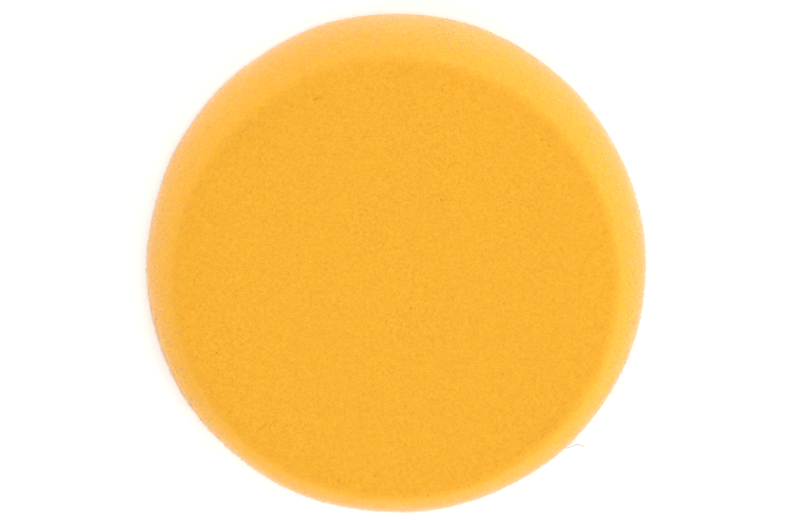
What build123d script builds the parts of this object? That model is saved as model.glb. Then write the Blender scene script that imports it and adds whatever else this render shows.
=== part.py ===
from build123d import *
import os
from math import radians, sin

# Round hook-and-loop polishing pad for a 150 mm machine polisher, lying on its loop side.
# Millimetres. +Z is the pad's axis and points out of the polishing face. The origin is the
# centre of the loop face, where the pad meets its backing plate.

# Overall size
PAD_DIAMETER = 150.0
PAD_THICKNESS = 30.0

# Laminated back, from the loops inwards
PILE_HEIGHT = 1.5
FABRIC_THICKNESS = 0.5
ADHESIVE_THICKNESS = 0.3
BACKING_INSET = 1.5  # the foam overhangs the glued-on fabric by this much all round

# Foam profile
FACE_RADIUS = 63.5  # flat part of the polishing face
CREASE_RADIUS = 4.0  # soft break at the edge of the flat face
CREASE_TURN = 50.0  # degrees the surface turns through that break
BACK_EDGE_RADIUS = 0.8

# Worked out from the sizes above
PAD_RADIUS = PAD_DIAMETER / 2
BACKING_RADIUS = PAD_RADIUS - BACKING_INSET
FABRIC_BASE = PILE_HEIGHT
ADHESIVE_BASE = FABRIC_BASE + FABRIC_THICKNESS
FOAM_BASE = ADHESIVE_BASE + ADHESIVE_THICKNESS


def shoulder_radius():
    """Radius of the crowned shoulder that runs on from the crease until the side is upright."""
    turned = sin(radians(CREASE_TURN))
    crease_reach = CREASE_RADIUS * turned
    return (PAD_RADIUS - FACE_RADIUS - crease_reach) / (1.0 - turned)


def flat_disc(base, thickness, radius):
    """One flat layer of the laminated back."""
    with BuildPart() as layer:
        with BuildSketch(Plane.XY.offset(base)):
            Circle(radius)
        extrude(amount=thickness)
    return layer


def save(builder, node):
    """Labels a finished piece and writes its STEP file."""
    builder.part.label = node
    export_step(builder.part, f"parts/{node}.step")


os.makedirs("parts", exist_ok=True)

# Foam body: flat face, soft crease, crowned shoulder, short upright side, eased back edge
with BuildPart() as foam_pad:
    with BuildSketch(Plane.XZ):
        with BuildLine():
            face = Line((0, PAD_THICKNESS), (FACE_RADIUS, PAD_THICKNESS))
            crease = JernArc(face @ 1, face % 1, CREASE_RADIUS, -CREASE_TURN)
            shoulder = JernArc(crease @ 1, crease % 1, shoulder_radius(), CREASE_TURN - 90)
            side = Line(shoulder @ 1, (PAD_RADIUS, FOAM_BASE + BACK_EDGE_RADIUS))
            back_edge = JernArc(side @ 1, side % 1, BACK_EDGE_RADIUS, -90)
            back = Line(back_edge @ 1, (0, FOAM_BASE))
            Line(back @ 1, face @ 0)
        make_face()
    revolve(axis=Axis.Z)
save(foam_pad, "foam_pad")

# Hot-melt adhesive film that bonds the fabric to the foam
adhesive_film = flat_disc(ADHESIVE_BASE, ADHESIVE_THICKNESS, BACKING_RADIUS)
save(adhesive_film, "adhesive_film")

# Knitted ground of the loop fabric
backing_fabric = flat_disc(FABRIC_BASE, FABRIC_THICKNESS, BACKING_RADIUS)
save(backing_fabric, "backing_fabric")

# Envelope of the raised loops that the backing plate's hooks catch
loop_pile = flat_disc(0.0, PILE_HEIGHT, BACKING_RADIUS)
save(loop_pile, "loop_pile")
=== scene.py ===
from itertools import product
from math import cos, pi, radians, sin, sqrt

import bpy
import numpy as np
from mathutils import Matrix, Vector


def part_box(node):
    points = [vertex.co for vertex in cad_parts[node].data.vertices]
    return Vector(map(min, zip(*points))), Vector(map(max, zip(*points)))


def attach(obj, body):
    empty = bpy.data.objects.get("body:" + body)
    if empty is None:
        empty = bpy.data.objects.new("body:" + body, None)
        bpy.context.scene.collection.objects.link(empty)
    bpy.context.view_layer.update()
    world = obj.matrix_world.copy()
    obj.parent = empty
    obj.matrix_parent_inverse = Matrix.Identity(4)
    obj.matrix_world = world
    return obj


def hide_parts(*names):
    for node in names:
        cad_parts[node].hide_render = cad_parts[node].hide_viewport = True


# Looks of a round foam polishing pad that lies on its loop side. Metres; +Z points out of the
# polishing face, and the origin is the centre of the loop face.

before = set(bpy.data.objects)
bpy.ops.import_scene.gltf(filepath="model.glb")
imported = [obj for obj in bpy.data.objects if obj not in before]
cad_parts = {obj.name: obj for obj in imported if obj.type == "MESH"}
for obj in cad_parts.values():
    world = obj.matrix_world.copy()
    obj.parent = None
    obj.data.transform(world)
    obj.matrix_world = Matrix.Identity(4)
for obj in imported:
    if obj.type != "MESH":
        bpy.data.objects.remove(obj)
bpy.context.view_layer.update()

MM = 0.001


def box_radius(node):
    """Outer radius of a round CAD node."""
    low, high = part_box(node)
    return (high.x - low.x) / 2


def flat_face_radius(node):
    """Radius of the flat top of a round CAD node, read from the corners that lie on its top plane."""
    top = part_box(node)[1].z
    corners = [v.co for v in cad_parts[node].data.vertices if v.co.z > top - 0.001 * MM]
    return max(c.xy.length for c in corners)


# Sizes of the CAD model
FOAM_LOW, FOAM_HIGH = (corner.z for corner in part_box("foam_pad"))
FOAM_RADIUS = box_radius("foam_pad")
FACE_RADIUS = flat_face_radius("foam_pad")
FILM_LOW, FILM_HIGH = (corner.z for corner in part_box("adhesive_film"))
FABRIC_LOW, FABRIC_HIGH = (corner.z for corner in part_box("backing_fabric"))
PILE_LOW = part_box("loop_pile")[0].z
BACKING_RADIUS = box_radius("backing_fabric")

# Foam body
CREASE_RADIUS = 4.0 * MM
CREASE_TURN = radians(50.0)
BACK_EDGE_RADIUS = 0.8 * MM
FACE_CELLS = 400  # quads across the flat face; its rim has four times as many
RING_STEP = 0.28 * MM  # between rings of quads down the side

# How far the hand-ground outline strays from a circle: waves round the rim, size, direction of a crest
OUTLINE_WAVES = (
    (2, 0.52 * MM, radians(86)),
    (3, 0.29 * MM, radians(91)),
)

# Cut surface of the foam
FACE_FADE = 2.0 * MM  # how far inside and outside the crease the looks of face and side blend
SIDE_FADE = 8.0 * MM
EDGE_FALL = 0.6 * MM  # the cut face falls off a little before the crease, over this width
EDGE_FALL_WIDTH = 16.0 * MM
WALL_LOW = 10.0 * MM  # painted sheen: the side is tinted paler from the top of the shoulder down to here
WALL_HIGH = 25.0 * MM
FACE_WAVINESS = 0.10 * MM
FACE_WAVELENGTH = 38.0 * MM
SIDE_WAVINESS = 0.12 * MM
SIDE_WAVELENGTH = 26.0 * MM
WAVELENGTH_SPREAD = (0.7, 1.5)
CELL_SIZE = 0.85 * MM
CELL_DEPTH = 0.07 * MM
CELL_CONTRAST = 1.6  # brings the middle of a typical cell to a depth of about 1
FINE_GRAIN = 0.012 * MM
OPEN_PORES = 60
PORE_RADIUS = (0.22 * MM, 0.42 * MM)
PORE_DEPTH = 0.25 * MM
PORE_FREE_EDGE = 2.0 * MM  # none open nearer to the back than this
PORE_FLOOR = 0.25  # flat middle of a pore, as a share of its radius

# Cut ends of struts that stand off the foam
NAP_TIPS = 49000
NAP_RADIUS = 0.045 * MM
NAP_SUNK = 0.06 * MM
NAP_LEAN = 0.7
NAP_RARITY = 2.4  # the higher, the fewer of the ends are long
FACE_NAP = (0.06 * MM, 0.20 * MM)
SIDE_NAP = (0.22 * MM, 1.60 * MM)
SIDE_NAP_CROWDING = 4.0  # how much thicker the nap stands on the ground sides than on the face

# Adhesive and knitted ground
EDGE_BULGE = 0.1 * MM
EDGE_WANDER = 0.11 * MM
EDGE_WAVELENGTH = 0.35  # of the wander, as a share of the radius
EDGE_ARC_POINTS = 6
FILM_CELLS = 90
GROUND_CELLS = 300
GROUND_FRAY = 0.03 * MM
WALE = 1.6 * MM  # from one rib of the knit to the next
COURSE = 1.3 * MM  # from one stitch to the next along a rib
KNIT_DEPTH = 0.16 * MM
KNIT_END = 0.985  # share of the radius where the knit starts to flatten out

# Loops of yarn below the ground
YARN_THICKNESS = 0.20 * MM
YARN_SIDES = 3
LOOP_BATCHES = 3
LOOP_PATH_POINTS = 9
LOOP_TURN = 0.93 * pi  # how far each leg of an arch runs round from its crown
LOOP_SUNK = 0.15 * MM
LOOP_HEIGHT = (0.70, 1.0)  # share of the pile's height
LOOP_WIDTH = (0.40 * MM, 0.66 * MM)
LOOP_SCATTER = 0.14 * MM
LOOP_TWIST = 0.75  # radians
LOOP_LEAN = (0.10 * MM, 0.45 * MM)
LOOP_LEAN_SCATTER = 0.32 * MM
LOOP_FREE_EDGE = 0.8 * MM

# Cut filament ends at the fabric's edge
FRAY_ENDS = 420
FRAY_THICKNESS = 0.06 * MM
FRAY_LENGTH = (0.5 * MM, 1.5 * MM)
FRAY_CURL = 0.5
FRAY_DROOP = (0.1, 0.6)  # share of an end's length that it sinks by
FRAY_ROOT = 0.3 * MM  # how deep an end is rooted in the fabric
FRAY_MARGIN = 0.1 * MM
FRAY_PATH_POINTS = 5

# One loose filament that has come out of the fabric's edge and lies on the table: x, y, z in millimetres
STRAY_FIBRE_ROUTE = (
    (46.6, -55.3, 1.75),
    (47.8, -56.6, 1.25),
    (49.2, -57.8, 0.30),
    (51.2, -58.2, 0.06),
    (53.4, -57.9, 0.06),
    (55.0, -56.9, 0.06),
    (56.6, -57.2, 0.06),
    (57.8, -57.9, 0.16),
)
STRAY_FIBRE_THICKNESS = 0.14 * MM
STRAY_FIBRE_SMOOTHINGS = 3

# ---------------------------------------------------------------- shared helpers


def new_piece(name, points, face_groups, material):
    """A smooth-shaded mesh object from points and arrays of faces, each array with its own corner count."""
    mesh = bpy.data.meshes.new(name)
    corners = np.concatenate([faces.ravel() for faces in face_groups])
    counts = np.concatenate([np.full(len(faces), faces.shape[1]) for faces in face_groups])
    starts = np.concatenate([[0], np.cumsum(counts)[:-1]])
    mesh.vertices.add(len(points))
    mesh.vertices.foreach_set("co", np.asarray(points, np.float32).ravel())
    mesh.loops.add(len(corners))
    mesh.loops.foreach_set("vertex_index", corners.astype(np.int32))
    mesh.polygons.add(len(counts))
    mesh.polygons.foreach_set("loop_start", starts.astype(np.int32))
    mesh.update(calc_edges=True)
    mesh.validate()
    mesh.shade_smooth()
    mesh.materials.append(material)
    piece = bpy.data.objects.new(name, mesh)
    bpy.context.scene.collection.objects.link(piece)
    return piece


def add_attribute(piece, name, values):
    """Stores one number for each point of a piece, which its material can read."""
    attribute = piece.data.attributes.new(name, "FLOAT", "POINT")
    attribute.data.foreach_set("value", values.astype(np.float32))


def hashed(corners, salt):
    """Three repeatable numbers from 0 to 1 for each whole-number grid corner."""
    x, y, z = corners.astype(np.uint32).T
    state = x * np.uint32(73856093) ^ y * np.uint32(19349663) ^ z * np.uint32(83492791) ^ np.uint32(salt)
    numbers = []
    for _ in range(3):
        state = state * np.uint32(1664525) + np.uint32(1013904223)
        state ^= state >> np.uint32(15)
        numbers.append((state & np.uint32(0xFFFF)) / 65535.0)
    return np.stack(numbers, 1)


def foam_cells(points, cell_size, salt):
    """How deep each point lies in its foam cell: 0 on the struts between cells, about 1 mid-cell."""
    scaled = points / cell_size
    base = np.floor(scaled).astype(np.int64)
    nearest = np.full(len(points), np.inf)
    second = nearest.copy()
    for offset in product((-1, 0, 1), repeat=3):
        corner = base + np.array(offset)
        gap = ((corner + hashed(corner, salt) - scaled) ** 2).sum(1)
        second = np.minimum(second, np.maximum(gap, nearest))
        nearest = np.minimum(nearest, gap)
    return np.clip((np.sqrt(second) - np.sqrt(nearest)) * CELL_CONTRAST, 0, 1)


def rolling(points, wavelength, salt, waves=12):
    """Smooth seeded undulation of about -1 to 1, as a sum of plane waves of nearly one wavelength."""
    random = np.random.default_rng(salt)
    total = np.zeros(len(points))
    for _ in range(waves):
        direction = random.normal(size=3)
        direction /= np.linalg.norm(direction)
        length = wavelength * random.uniform(*WAVELENGTH_SPREAD)
        total += np.sin(points @ direction * (2 * pi / length) + random.uniform(0, 2 * pi))
    return total / sqrt(waves)


def smooth_step(low, high, value):
    """Smooth rise from 0 at low to 1 at high."""
    share = np.clip((value - low) / (high - low), 0, 1)
    return share * share * (3 - 2 * share)


# ---------------------------------------------------------------- foam body


def disc_grid(cells):
    """Points of a square grid mapped smoothly onto the unit disc, its quads, and its rim in order."""
    line = np.linspace(-1, 1, cells + 1)
    u, v = np.meshgrid(line, line)
    points = np.stack([u * np.sqrt(1 - v * v / 2), v * np.sqrt(1 - u * u / 2)], -1).reshape(-1, 2)
    index = np.arange((cells + 1) ** 2).reshape(cells + 1, cells + 1)
    quads = np.stack([index[:-1, :-1], index[:-1, 1:], index[1:, 1:], index[1:, :-1]], -1).reshape(-1, 4)
    rim = np.concatenate([index[0, :-1], index[:-1, -1], index[-1, :0:-1], index[:0:-1, 0]])
    return points, quads, rim


def ring_quads(rings):
    """Quads between each ring of point numbers and the next."""
    inner, outer = rings[:-1], rings[1:]
    return np.stack([inner, outer, np.roll(outer, -1, 1), np.roll(inner, -1, 1)], -1).reshape(-1, 4)


def arc_stations(centre, radius, start, end):
    """Profile points (radius, height, outward normal) along an arc, leaving out its first point."""
    steps = max(3, round(radius * abs(end - start) / RING_STEP))
    turns = np.linspace(start, end, steps + 1)[1:]
    return [(centre[0] + radius * sin(a), centre[1] + radius * cos(a), sin(a), cos(a)) for a in turns]


def foam_side_stations():
    """Profile of the foam from the edge of the flat face down to the edge of the flat back."""
    crease = arc_stations((FACE_RADIUS, FOAM_HIGH - CREASE_RADIUS), CREASE_RADIUS, 0, CREASE_TURN)
    shoulder_radius = (FOAM_RADIUS - crease[-1][0]) / (1 - sin(CREASE_TURN))
    shoulder_centre = (
        FOAM_RADIUS - shoulder_radius,
        crease[-1][1] - shoulder_radius * cos(CREASE_TURN),
    )
    shoulder = arc_stations(shoulder_centre, shoulder_radius, CREASE_TURN, pi / 2)
    wall_low = FOAM_LOW + BACK_EDGE_RADIUS
    wall_steps = max(3, round((shoulder_centre[1] - wall_low) / RING_STEP))
    wall = [
        (FOAM_RADIUS, z, 1, 0) for z in np.linspace(shoulder_centre[1], wall_low, wall_steps + 1)[1:]
    ]
    back_edge = arc_stations((FOAM_RADIUS - BACK_EDGE_RADIUS, wall_low), BACK_EDGE_RADIUS, pi / 2, pi)
    return np.array(crease + shoulder + wall + back_edge)


def open_pores(points, random):
    """Depth, from 0 to 1, of the few larger pores that the cut has opened."""
    depth = np.zeros(len(points))
    outer = np.flatnonzero(points[:, 2] > FOAM_LOW + PORE_FREE_EDGE)
    for middle in points[random.choice(outer, OPEN_PORES, replace=False)]:
        radius = random.uniform(*PORE_RADIUS)
        gap = np.linalg.norm(points - middle, axis=1)
        depth = np.maximum(depth, 1 - smooth_step(PORE_FLOOR * radius, radius, gap))
    return depth


def swept(out, up, around):
    """The outward and upward parts of each profile station, carried round the pad's axis."""
    flat = out[:, None, None] * around[None]
    upright = np.broadcast_to(up[:, None, None], (len(out), len(around), 1))
    return np.concatenate([flat, upright], 2).reshape(-1, 3)


def foam_grid():
    """Points, outward normals and faces of the foam, still as smooth as the CAD solid."""
    disc, face_quads, rim = disc_grid(FACE_CELLS)
    face = np.column_stack([disc * FACE_RADIUS, np.full(len(disc), FOAM_HIGH)])
    face_normals = np.tile([0.0, 0.0, 1.0], (len(face), 1))
    around = disc[rim] / np.linalg.norm(disc[rim], axis=1)[:, None]
    radii, heights, normal_out, normal_up = foam_side_stations().T
    side = swept(radii, heights, around)
    points = np.concatenate([face, side])
    normals = np.concatenate([face_normals, swept(normal_out, normal_up, around)])

    # Rings of quads from the rim of the face to the edge of the back, then the flat back as one face
    rings = np.concatenate([rim[None], len(face) + np.arange(len(side)).reshape(-1, len(around))])
    side_quads = ring_quads(rings)
    back = rings[-1][::-1][None]
    return points, normals, [face_quads, side_quads, back]


def make_foam(material):
    """The foam body: one closed mesh with waviness, cells, open pores and fine grain in its surface."""
    random = np.random.default_rng(7)
    points, normals, faces = foam_grid()
    distance = np.linalg.norm(points[:, :2], axis=1)
    sideness = smooth_step(FACE_RADIUS - FACE_FADE, FACE_RADIUS + SIDE_FADE, distance)
    backness = 1 - smooth_step(FOAM_LOW, FOAM_LOW + BACK_EDGE_RADIUS, points[:, 2])
    cells = foam_cells(points, CELL_SIZE, 11)
    pores = open_pores(points, random)
    lift = FACE_WAVINESS * rolling(points, FACE_WAVELENGTH, 1) * (1 - sideness)
    lift += SIDE_WAVINESS * rolling(points, SIDE_WAVELENGTH, 2) * sideness
    lift -= CELL_DEPTH * cells
    lift -= PORE_DEPTH * pores
    lift += FINE_GRAIN * random.normal(size=len(points))
    lift *= 1 - backness
    moved = points + normals * lift[:, None]
    fall_from = FACE_RADIUS + FACE_FADE - EDGE_FALL_WIDTH
    fall = np.clip((distance - fall_from) / EDGE_FALL_WIDTH, 0, 1) ** 2
    moved[:, 2] -= EDGE_FALL * fall * smooth_step(WALL_LOW, WALL_HIGH, points[:, 2])
    angle = np.arctan2(points[:, 1], points[:, 0])
    stray = sum(size * np.cos(waves * (angle - crest)) for waves, size, crest in OUTLINE_WAVES)
    moved[:, :2] *= (1 + stray / FOAM_RADIUS * (distance / FOAM_RADIUS) ** 2)[:, None]

    piece = new_piece("foam_body", moved, faces, material)
    # Mask of painted sheen: strongest low on the side, gone by the top of the shoulder.
    wall = 1 - smooth_step(WALL_LOW, WALL_HIGH, points[:, 2])
    for name, values in (("cell", cells), ("pore", pores), ("sideness", sideness), ("wall", wall)):
        add_attribute(piece, name, values)
    visible = points[:, 2] > FOAM_LOW + BACK_EDGE_RADIUS
    return piece, moved[visible], normals[visible], sideness[visible]


def make_nap(surface, normals, sideness, material):
    """Cut ends of the foam's finest struts, standing off its surface as short closed spikes."""
    random = np.random.default_rng(43)
    crowding = 1 + (SIDE_NAP_CROWDING - 1) * sideness
    chosen = random.choice(len(surface), NAP_TIPS, replace=False, p=crowding / crowding.sum())
    roots, up, side_share = surface[chosen], normals[chosen], sideness[chosen][:, None]
    direction = up + NAP_LEAN * random.normal(size=up.shape) / sqrt(3)
    direction /= np.linalg.norm(direction, axis=1)[:, None]
    across = np.cross(direction, random.normal(size=up.shape))
    across /= np.linalg.norm(across, axis=1)[:, None]
    beside = np.cross(direction, across)
    luck = random.uniform(size=(NAP_TIPS, 1)) ** NAP_RARITY
    shortest = FACE_NAP[0] + (SIDE_NAP[0] - FACE_NAP[0]) * side_share
    longest = FACE_NAP[1] + (SIDE_NAP[1] - FACE_NAP[1]) * side_share
    tips = roots + direction * (shortest + (longest - shortest) * luck)
    feet = [
        roots - direction * NAP_SUNK + NAP_RADIUS * (cos(turn) * across + sin(turn) * beside)
        for turn in (0, 2 * pi / 3, 4 * pi / 3)
    ]
    points = np.stack([*feet, tips], 1).reshape(-1, 3)
    first = 4 * np.arange(NAP_TIPS)[:, None]
    walls = [first + np.array(corners) for corners in ((0, 1, 3), (1, 2, 3), (2, 0, 3), (0, 2, 1))]
    piece = new_piece("foam_nap", points, [np.concatenate(walls)], material)
    add_attribute(piece, "tip", np.tile([0, 0, 0, 1], NAP_TIPS))
    return piece


# ---------------------------------------------------------------- laminated back


def disc_layer(name, low, high, material, cells, salt, relief=None, depth=0.0, fray=0.0):
    """A thin closed disc as wide as the fabric, with a rounded, wandering edge and a shaped underside."""
    random = np.random.default_rng(salt)
    disc, under_quads, rim = disc_grid(cells)
    around = disc[rim] / np.linalg.norm(disc[rim], axis=1)[:, None]
    count = len(around)
    half, middle = (high - low) / 2, (high + low) / 2
    wander = EDGE_WANDER * rolling(np.column_stack([around, np.zeros(count)]), EDGE_WAVELENGTH, salt)
    reach = BACKING_RADIUS + wander + fray * random.normal(size=count)

    spread = np.linalg.norm(disc, axis=1)
    under = np.column_stack([disc * (BACKING_RADIUS - EDGE_BULGE), np.full(len(disc), low)])
    sunk = np.zeros(len(disc))
    if relief:
        sunk = (1 - relief(under)) * (1 - smooth_step(KNIT_END, 1.0, spread))
    under[:, 2] += depth * sunk
    under[rim, :2] = around * (reach - EDGE_BULGE)[:, None]

    rings = []
    for turn in np.linspace(0, pi, EDGE_ARC_POINTS + 1)[:-1]:
        out = reach - EDGE_BULGE * (1 - sin(turn))
        rings.append(np.column_stack([out[:, None] * around, np.full(count, middle + half * cos(turn))]))
    index = np.concatenate([len(under) + np.arange(len(rings) * count).reshape(-1, count), rim[None]])
    top = index[0][None]
    points = np.concatenate([under, *rings])
    piece = new_piece(name, points, [under_quads[:, ::-1], ring_quads(index), top], material)
    add_attribute(piece, "sunk", np.concatenate([sunk, np.zeros(len(points) - len(sunk))]))
    return piece


def knit(points):
    """Height, from 0 to 1, of the ribs of the knit, pinched between stitches in staggered rows."""
    x, y = points[:, 0], points[:, 1]
    rib = 0.5 + 0.5 * np.cos(x * (2 * pi / WALE))
    stagger = pi * np.round(x / WALE)
    stitch = 0.5 + 0.5 * np.cos(y * (2 * pi / COURSE) + stagger)
    return rib * (0.5 + 0.5 * stitch)


def tubes(paths, thickness):
    """Points and faces of one thin closed tube along each path, all paths with as many points."""
    tangents = np.gradient(paths, axis=1)
    tangents /= np.linalg.norm(tangents, axis=2)[..., None]
    chord = paths[:, -1] - paths[:, 0]
    rise = paths[:, paths.shape[1] // 2] - paths[:, 0]
    flat = np.cross(chord, rise)
    flat /= np.linalg.norm(flat, axis=1)[:, None]
    across = np.repeat(flat[:, None], paths.shape[1], 1)
    outward = np.cross(across, tangents)
    turns = np.arange(YARN_SIDES) * 2 * pi / YARN_SIDES
    rings = paths[:, :, None] + thickness / 2 * (
        np.cos(turns)[:, None] * across[:, :, None] + np.sin(turns)[:, None] * outward[:, :, None]
    )
    index = np.arange(rings[..., 0].size).reshape(rings.shape[:3])
    inner, outer = index[:, :-1], index[:, 1:]
    walls = np.stack([inner, np.roll(inner, -1, 2), np.roll(outer, -1, 2), outer], -1).reshape(-1, 4)
    ends = np.concatenate([index[:, 0, ::-1], index[:, -1]])
    return rings.reshape(-1, 3), [walls, ends]


def make_loops(material):
    """The raised loops, one leaning arch of yarn for each stitch, in a few pieces of equal size."""
    random = np.random.default_rng(21)
    wales = np.arange(-int(BACKING_RADIUS / WALE), int(BACKING_RADIUS / WALE) + 1)
    rows = np.arange(-int(BACKING_RADIUS / COURSE) - 1, int(BACKING_RADIUS / COURSE) + 2)
    wale, row = (axis.ravel() for axis in np.meshgrid(wales, rows))
    feet = np.column_stack([wale * WALE, (row + 0.5 * (wale % 2)) * COURSE])
    feet += random.normal(scale=LOOP_SCATTER, size=feet.shape)
    feet = feet[np.linalg.norm(feet, axis=1) < BACKING_RADIUS - LOOP_FREE_EDGE]
    count = len(feet)
    tallest = FABRIC_LOW - PILE_LOW - YARN_THICKNESS / 2
    height = tallest * random.uniform(*LOOP_HEIGHT, count) + LOOP_SUNK
    width = random.uniform(*LOOP_WIDTH, count)
    heading = random.normal(pi / 2, LOOP_TWIST, count)
    lean = random.normal(LOOP_LEAN, LOOP_LEAN_SCATTER, size=(count, 2))
    turn = np.linspace(-LOOP_TURN, LOOP_TURN, LOOP_PATH_POINTS)
    out = width[:, None] * np.sin(turn)
    share = np.broadcast_to(0.5 + 0.5 * np.cos(turn), out.shape)
    paths = np.stack(
        [
            feet[:, :1] + out * np.cos(heading)[:, None] + lean[:, :1] * share**2,
            feet[:, 1:] + out * np.sin(heading)[:, None] + lean[:, 1:] * share**2,
            FABRIC_LOW + LOOP_SUNK - height[:, None] * share,
        ],
        2,
    )
    batches = [tubes(paths[first::LOOP_BATCHES], YARN_THICKNESS) for first in range(LOOP_BATCHES)]
    return [
        new_piece(f"loop_yarns_{number}", points, faces, material)
        for number, (points, faces) in enumerate(batches, 1)
    ]


def make_fray(material):
    """Cut filament ends that curl out of the edge of the fabric."""
    random = np.random.default_rng(58)
    angle = random.uniform(0, 2 * pi, FRAY_ENDS)
    outward = np.column_stack([np.cos(angle), np.sin(angle)])
    sideways = np.column_stack([-np.sin(angle), np.cos(angle)])
    length = random.uniform(*FRAY_LENGTH, FRAY_ENDS)[:, None]
    curl = random.normal(scale=FRAY_CURL, size=FRAY_ENDS)[:, None]
    droop = random.uniform(*FRAY_DROOP, FRAY_ENDS)[:, None]
    start = random.uniform(FABRIC_LOW + FRAY_MARGIN, FABRIC_HIGH - FRAY_MARGIN, FRAY_ENDS)[:, None]
    share = np.linspace(0, 1, FRAY_PATH_POINTS)[None]
    along = BACKING_RADIUS - FRAY_ROOT + length * share
    aside = length * curl * share**2
    paths = np.stack(
        [
            along * outward[:, :1] + aside * sideways[:, :1],
            along * outward[:, 1:] + aside * sideways[:, 1:],
            start - droop * length * share**2,
        ],
        2,
    )
    return new_piece("edge_fray", *tubes(paths, FRAY_THICKNESS), material)


def make_stray_fibre(material):
    """The loose filament, its corners rounded off by cutting them again and again."""
    route = np.array(STRAY_FIBRE_ROUTE) * MM
    for _ in range(STRAY_FIBRE_SMOOTHINGS):
        near, far = 0.75 * route[:-1] + 0.25 * route[1:], 0.25 * route[:-1] + 0.75 * route[1:]
        route = np.concatenate([route[:1], np.stack([near, far], 1).reshape(-1, 3), route[-1:]])
    return new_piece("stray_fibre", *tubes(route[None], STRAY_FIBRE_THICKNESS), material)


# ---------------------------------------------------------------- materials


class Nodes:
    """A small helper that builds one material's node tree."""

    def __init__(self, name):
        self.material = bpy.data.materials.new(name)
        self.material.use_nodes = True
        self.tree = self.material.node_tree
        self.shader = self.tree.nodes["Principled BSDF"]

    def add(self, kind, inputs=(), **settings):
        node = self.tree.nodes.new(kind)
        for key, value in settings.items():
            setattr(node, key, value)
        for key, value in dict(inputs).items():
            self.feed(node.inputs[key], value)
        return node

    def feed(self, socket, value):
        if isinstance(value, bpy.types.NodeSocket):
            self.tree.links.new(value, socket)
        else:
            socket.default_value = value

    def noise(self, scale, detail=2.0, roughness=0.5):
        place = self.add("ShaderNodeTexCoord").outputs["Object"]
        node = self.add(
            "ShaderNodeTexNoise",
            {"Vector": place, "Scale": scale, "Detail": detail, "Roughness": roughness},
        )
        return node.outputs["Fac"]

    def voronoi(self, scale, feature="F1"):
        place = self.add("ShaderNodeTexCoord").outputs["Object"]
        node = self.add("ShaderNodeTexVoronoi", {"Vector": place, "Scale": scale}, feature=feature)
        return node.outputs["Distance"]

    def attribute(self, name):
        return self.add("ShaderNodeAttribute", attribute_name=name).outputs["Fac"]

    def remap(self, value, low, high, to_low, to_high):
        node = self.add(
            "ShaderNodeMapRange",
            {
                "Value": value,
                "From Min": low,
                "From Max": high,
                "To Min": to_low,
                "To Max": to_high,
            },
        )
        return node.outputs["Result"]

    def mix(self, share, first, second):
        node = self.add("ShaderNodeMix", data_type="RGBA")
        self.feed(node.inputs[0], share)
        self.feed(node.inputs[6], first)
        self.feed(node.inputs[7], second)
        return node.outputs[2]

    def maths(self, operation, first, second):
        node = self.add("ShaderNodeMath", operation=operation)
        self.feed(node.inputs[0], first)
        self.feed(node.inputs[1], second)
        return node.outputs[0]

    def bump(self, height, distance, strength=1.0):
        node = self.add(
            "ShaderNodeBump", {"Height": height, "Distance": distance, "Strength": strength}
        )
        self.feed(self.shader.inputs["Normal"], node.outputs["Normal"])

    def set(self, **values):
        for key, value in values.items():
            self.feed(self.shader.inputs[key.replace("_", " ")], value)


def foam_material():
    """Matte orange-yellow polyurethane foam with fine open cells."""
    n = Nodes("foam")
    deep, body, pale = (0.71, 0.300, 0.015, 1), (0.82, 0.400, 0.027, 1), (0.89, 0.48, 0.048, 1)
    # Painted light among these colours: the pore floor colour is painted shade, the wall colour is painted
    # sheen, and the ground side colour is painted sheen mixed with the ground foam's own paler tone.
    pore_floor_shade, ground_side_and_sheen, wall = (0.40, 0.12, 0.006, 1), (0.87, 0.47, 0.14, 1), (0.85, 0.46, 0.25, 1)
    strut_gap = n.voronoi(2300.0, "DISTANCE_TO_EDGE")
    fine = n.noise(2600.0, 2.0, 0.6)
    coarse = n.noise(900.0, 2.0)
    grain = n.maths("ADD", n.maths("MULTIPLY", fine, 0.70), n.maths("MULTIPLY", coarse, 0.30))
    dark_share = n.remap(grain, 0.50, 0.31, 0.0, 1.0)
    pale_share = n.remap(grain, 0.50, 0.69, 0.0, 0.8)
    grained = n.mix(pale_share, n.mix(dark_share, body, deep), pale)
    patched = n.mix(n.remap(n.noise(330.0, 2.0), 0.42, 0.66, 0.0, 0.14), grained, deep)
    # Painted shade: each foam cell is darker towards its middle, where its hollow is deepest.
    with_cell_shade = n.mix(n.maths("MULTIPLY", n.attribute("cell"), 0.15), patched, deep)
    # Painted shade: the open pores darken towards their floors.
    with_pore_shade = n.mix(n.maths("MULTIPLY", n.attribute("pore"), 0.6), with_cell_shade, pore_floor_shade)
    # The side is tinted paler: partly the ground foam's own paler tone, partly painted sheen.
    paler = n.mix(n.maths("MULTIPLY", n.attribute("sideness"), 0.13), with_pore_shade, ground_side_and_sheen)
    # Painted sheen: the lower side is tinted paler towards the wall colour.
    colour = n.mix(n.maths("MULTIPLY", n.attribute("wall"), 0.25), paler, wall)
    n.set(
        Base_Color=colour,
        Roughness=0.95,
        Specular_IOR_Level=0.15,
        Sheen_Weight=n.remap(n.attribute("sideness"), 0.0, 1.0, 0.4, 1.0),
        Sheen_Roughness=0.22,
        Sheen_Tint=(1.0, 1.0, 1.0, 1.0),
        Subsurface_Weight=0.25,
        Subsurface_Radius=(1.0, 0.45, 0.12),
        Subsurface_Scale=1.0 * MM,
    )
    n.bump(strut_gap, 0.05 * MM, 0.6)
    return n.material


def nap_material():
    """The same foam where it is one strut thick: paler, because light passes through it."""
    n = Nodes("foam_nap")
    pale = n.mix(n.noise(300.0, 2.0), (0.95, 0.78, 0.50, 1), (0.98, 0.93, 0.82, 1))
    colour = n.mix(n.remap(n.attribute("tip"), 0.0, 0.7, 0.15, 1.0), (0.85, 0.46, 0.07, 1), pale)
    n.set(Base_Color=colour, Roughness=0.9, Specular_IOR_Level=0.2, Sheen_Weight=0.3)
    return n.material


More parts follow.
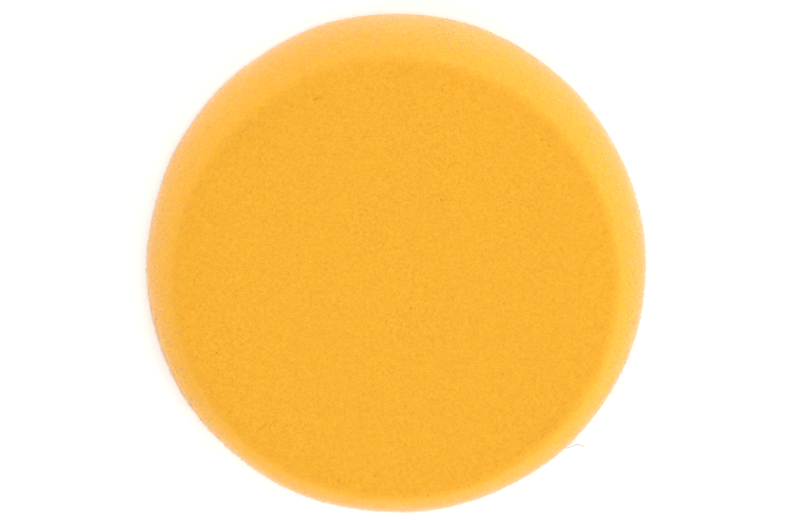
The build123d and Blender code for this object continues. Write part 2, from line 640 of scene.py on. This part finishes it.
def film_material():
    """Hot-melt adhesive: cream, slightly glossy, uneven."""
    n = Nodes("adhesive")
    streaks = n.remap(n.noise(400.0, 3.0), 0.3, 0.7, 0.0, 1.0)
    colour = n.mix(streaks, (0.62, 0.43, 0.17, 1), (0.78, 0.62, 0.34, 1))
    n.set(Base_Color=colour, Roughness=0.35, Subsurface_Weight=0.2, Subsurface_Scale=0.5 * MM)
    n.bump(n.noise(900.0, 2.0), 0.05 * MM, 0.5)
    return n.material


def fabric_material():
    """Off-white warp-knitted ground, with painted shade that greys it down between the ribs."""
    n = Nodes("backing_fabric")
    filaments = n.noise(5200.0, 2.0)
    # Painted shade: the ground is greyer where it sinks between the ribs.
    shade = n.maths("MULTIPLY", n.attribute("sunk"), 0.5)
    tone = n.maths("SUBTRACT", n.remap(filaments, 0.3, 0.7, 0.45, 1.0), shade)
    colour = n.mix(tone, (0.46, 0.44, 0.40, 1), (0.80, 0.78, 0.73, 1))
    n.set(Base_Color=colour, Roughness=0.9, Sheen_Weight=0.3, Sheen_Roughness=0.5)
    n.bump(filaments, 0.05 * MM, 0.8)
    return n.material


def filament_material():
    """One bare nylon filament: grey where it lies on white, because light passes through it."""
    n = Nodes("loose_filament")
    colour = n.mix(n.noise(900.0, 2.0), (0.20, 0.20, 0.19, 1), (0.34, 0.34, 0.32, 1))
    n.set(Base_Color=colour, Roughness=0.4)
    return n.material


def yarn_material():
    """Off-white nylon loops with fine filaments."""
    n = Nodes("loop_pile")
    filaments = n.noise(6000.0, 2.0)
    colour = n.mix(n.remap(filaments, 0.3, 0.7, 0.0, 1.0), (0.66, 0.65, 0.61, 1), (0.84, 0.83, 0.79, 1))
    n.set(
        Base_Color=colour,
        Roughness=0.7,
        Sheen_Weight=0.4,
        Sheen_Roughness=0.4,
        Subsurface_Weight=0.15,
        Subsurface_Scale=0.3 * MM,
    )
    n.bump(filaments, 0.03 * MM, 0.6)
    return n.material


# ---------------------------------------------------------------- the object

foam, foam_surface, foam_normals, foam_sideness = make_foam(foam_material())
nap = make_nap(foam_surface, foam_normals, foam_sideness, nap_material())
film = disc_layer("adhesive_layer", FILM_LOW, FILM_HIGH, film_material(), FILM_CELLS, 31)
fabric = disc_layer(
    "knitted_ground",
    FABRIC_LOW,
    FABRIC_HIGH,
    fabric_material(),
    GROUND_CELLS,
    32,
    relief=knit,
    depth=KNIT_DEPTH,
    fray=GROUND_FRAY,
)
yarn = yarn_material()
loops = make_loops(yarn)
fray = make_fray(yarn)
stray_fibre = make_stray_fibre(filament_material())

for piece, node, slot_name in (
    (foam, "foam_pad", "foam"),
    (film, "adhesive_film", "adhesive"),
    (fabric, "backing_fabric", "backing_fabric"),
    *((batch, "loop_pile", "loop_pile") for batch in loops),
):
    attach(piece, "root")
    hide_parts(node)

for piece, slot_name in ((nap, "foam"), (fray, "backing_fabric"), (stray_fibre, "backing_fabric")):
    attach(piece, "root")

# ---------------------------------------------------------------- studio

FLOOR_SIZE = 12.0
FLOOR_GLOW = 0.27
WORLD_STRENGTH = 0.68
VIEW_TILT = radians(12.06)  # between the line of sight and the pad's axis
VIEW_DISTANCE = 0.95
PAD_SHARE = 0.6408  # of the picture's width
AIM = Vector((-0.5 * MM, 3.8 * MM, 15.0 * MM))
SOFT_BOXES = (  # name, place, size and power of each light, in metres and watts
    ("overhead", (0.42, 0.36, 1.9), 0.3, 4.85),
    ("right", (1.6, 0.15, 0.5), 0.8, 6.3),
    ("far_right", (1.1, 1.3, 0.45), 0.7, 4.4),
    ("far", (-0.1, 1.6, 0.5), 0.8, 9.8),
    ("left", (-1.5, -0.5, 0.5), 0.8, 9.0),
    ("near", (0.0, -1.6, 0.5), 0.8, 3.6),
    ("near_right", (1.15, -1.15, 0.5), 0.8, 10.6),
)


def make_floor():
    """White lit sweep, bright enough to lose all but a trace of the pad's shadow."""
    mesh = bpy.data.meshes.new("floor")
    half = FLOOR_SIZE / 2
    corners = [(-half, -half, 0), (half, -half, 0), (half, half, 0), (-half, half, 0)]
    mesh.from_pydata(corners, [], [(0, 1, 2, 3)])
    floor = bpy.data.objects.new("floor", mesh)
    bpy.context.scene.collection.objects.link(floor)
    n = Nodes("floor")
    n.set(
        Base_Color=(0.80, 0.80, 0.80, 1),
        Roughness=1.0,
        Specular_IOR_Level=0.0,
        Emission_Color=(1, 1, 1, 1),
        Emission_Strength=FLOOR_GLOW,
    )
    mesh.materials.append(n.material)


def make_light(name, place, size, power):
    """A soft square light that faces the pad."""
    light = bpy.data.lights.new(name, "AREA")
    light.energy = power
    light.size = size
    lamp = bpy.data.objects.new(name, light)
    lamp.location = place
    lamp.visible_camera = False
    lamp.rotation_mode = "QUATERNION"
    lamp.rotation_quaternion = (-Vector(place)).to_track_quat("-Z", "Y")
    bpy.context.scene.collection.objects.link(lamp)


def make_world(strength):
    """Even white light from all round."""
    world = bpy.data.worlds.new("studio")
    world.use_nodes = True
    background = world.node_tree.nodes["Background"]
    background.inputs["Color"].default_value = (1, 1, 1, 1)
    background.inputs["Strength"].default_value = strength
    bpy.context.scene.world = world


def make_camera():
    """Looks down on the pad from its far side, so that the side of the pad shows along the top."""
    camera = bpy.data.cameras.new("camera")
    towards = Vector((0, sin(VIEW_TILT), cos(VIEW_TILT)))
    up = Vector((0, cos(VIEW_TILT), -sin(VIEW_TILT)))
    eye = AIM + towards * VIEW_DISTANCE
    width = 2 * FOAM_RADIUS / PAD_SHARE
    camera.lens = camera.sensor_width * VIEW_DISTANCE / width
    camera.clip_end = 50.0
    rig = bpy.data.objects.new("camera", camera)
    turn = Matrix((up.cross(towards), up, towards)).transposed()
    rig.matrix_world = Matrix.Translation(eye) @ turn.to_4x4()
    bpy.context.scene.collection.objects.link(rig)
    bpy.context.scene.camera = rig


make_floor()
for name, place, size, power in SOFT_BOXES:
    make_light(name, place, size, power)
make_world(WORLD_STRENGTH)
make_camera()
bpy.context.scene.view_settings.view_transform = "Standard"
